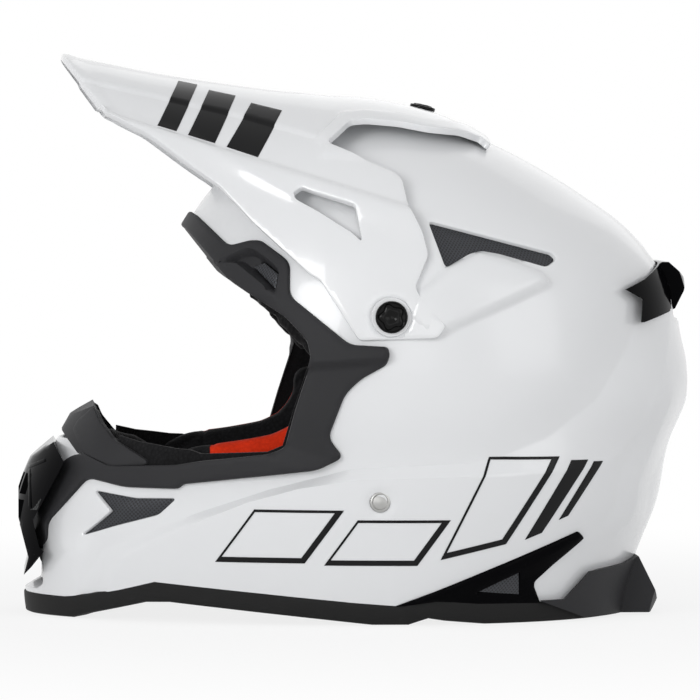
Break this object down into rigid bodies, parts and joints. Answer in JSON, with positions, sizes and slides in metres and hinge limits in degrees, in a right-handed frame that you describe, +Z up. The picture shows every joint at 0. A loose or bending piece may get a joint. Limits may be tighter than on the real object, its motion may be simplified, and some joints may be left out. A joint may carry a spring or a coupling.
{
  "type": "motocross helmet",
  "caption": "Full-face off-road helmet in gloss white with a long adjustable peak, matte black eyeport frame, dark mesh vents and a padded lining",
  "frame": {"origin": "on the ground under the middle of the bounding box", "axes": "+X to the rear, -Y to the wearer's left, +Z up"},
  "size_m": [0.3598, 0.2664, 0.3016],
  "materials": {
    "shell_gloss_white": "clear gloss lacquer",
    "peak_gloss_white": "gloss moulded",
    "trim_matte_black": "soft matte",
    "base_rubber": "matte",
    "vent_gloss_black": "high gloss",
    "vent_mesh": "woven wire",
    "knob_black": "gloss moulded",
    "foam_black": "expanded foam",
    "filter_foam": "open foam",
    "lining_black": "quilted textile",
    "cheek_fabric": "textile, black over orange-red",
    "webbing_black": "woven webbing",
    "steel": "brushed",
    "insert_brass": "turned"
  },
  "bodies": {
    "helmet": {"outer_shell": "shell_gloss_white", "eyeport_trim": "trim_matte_black", "nose_guard": "trim_matte_black", "rear_spoiler": "trim_matte_black", "base_trim": "base_rubber", "chin_vent_grille": "vent_gloss_black", "rear_exhaust_vent": "vent_gloss_black", "left_rear_side_vent": "vent_gloss_black", "right_rear_side_vent": "vent_gloss_black", "chin_vent_mesh": "vent_mesh", "rear_exhaust_mesh": "vent_mesh", "spoiler_mesh": "vent_mesh", "left_chin_side_mesh": "vent_mesh", "right_chin_side_mesh": "vent_mesh", "left_upper_side_mesh": "vent_mesh", "right_upper_side_mesh": "vent_mesh", "left_brow_mesh": "vent_mesh", "right_brow_mesh": "vent_mesh", "left_rear_side_mesh": "vent_mesh", "right_rear_side_mesh": "vent_mesh", "cheek_pad_snaps": "knob_black", "eps_liner": "foam_black", "chin_bar_foam": "foam_black", "left_cheek_core": "foam_black", "right_cheek_core": "foam_black", "chin_filter_foam": "filter_foam", "comfort_liner": "lining_black", "neck_roll": "lining_black", "left_cheek_pad": "cheek_fabric", "right_cheek_pad": "cheek_fabric", "left_strap_rivet": "steel", "right_strap_rivet": "steel", "left_peak_insert": "insert_brass", "right_peak_insert": "insert_brass", "top_peak_insert": "insert_brass"},
    "peak": {"peak": "peak_gloss_white"},
    "left_screw": {"left_peak_screw": "knob_black"},
    "right_screw": {"right_peak_screw": "knob_black"},
    "top_screw": {"top_peak_screw": "knob_black"},
    "left_strap": {"left_chin_strap": "webbing_black", "left_strap_anchor": "steel"},
    "right_strap": {"right_chin_strap": "webbing_black", "right_strap_anchor": "steel", "strap_snap": "steel"},
    "upper_ring": {"upper_d_ring": "steel"},
    "lower_ring": {"lower_d_ring": "steel"}
  },
  "joints": [
    {"name": "peak_tilt", "type": "hinge", "parent": "helmet", "child": "peak", "pos_m": [0.0137, 0, 0.1615], "axis": [0, 1, 0], "range_deg": [-4, 2]},
    {"name": "left_screw_turn", "type": "hinge", "parent": "helmet", "child": "left_screw", "pos_m": [0.0137, -0.13, 0.1615], "axis": [0, -1, 0], "continuous": true},
    {"name": "right_screw_turn", "type": "hinge", "parent": "helmet", "child": "right_screw", "pos_m": [0.0137, 0.13, 0.1615], "axis": [0, 1, 0], "continuous": true},
    {"name": "top_screw_turn", "type": "hinge", "parent": "helmet", "child": "top_screw", "pos_m": [0.03774, 0, 0.26884], "axis": [0.2185, 0, 0.9758], "continuous": true},
    {"name": "left_strap_swing", "type": "hinge", "parent": "helmet", "child": "left_strap", "pos_m": [0.0083, -0.111, 0.0651], "axis": [0, 1, 0], "range_deg": [-8, 8]},
    {"name": "right_strap_swing", "type": "hinge", "parent": "helmet", "child": "right_strap", "pos_m": [0.0083, 0.111, 0.0651], "axis": [0, 1, 0], "range_deg": [-8, 8]},
    {"name": "upper_ring_swing", "type": "hinge", "parent": "left_strap", "child": "upper_ring", "pos_m": [0.0083, -0.0495, 0.019], "axis": [1, 0, 0], "range_deg": [-4, 45]},
    {"name": "lower_ring_swing", "type": "hinge", "parent": "left_strap", "child": "lower_ring", "pos_m": [0.0083, -0.0395, 0.019], "axis": [1, 0, 0], "range_deg": [-15, 15]}
  ]
}
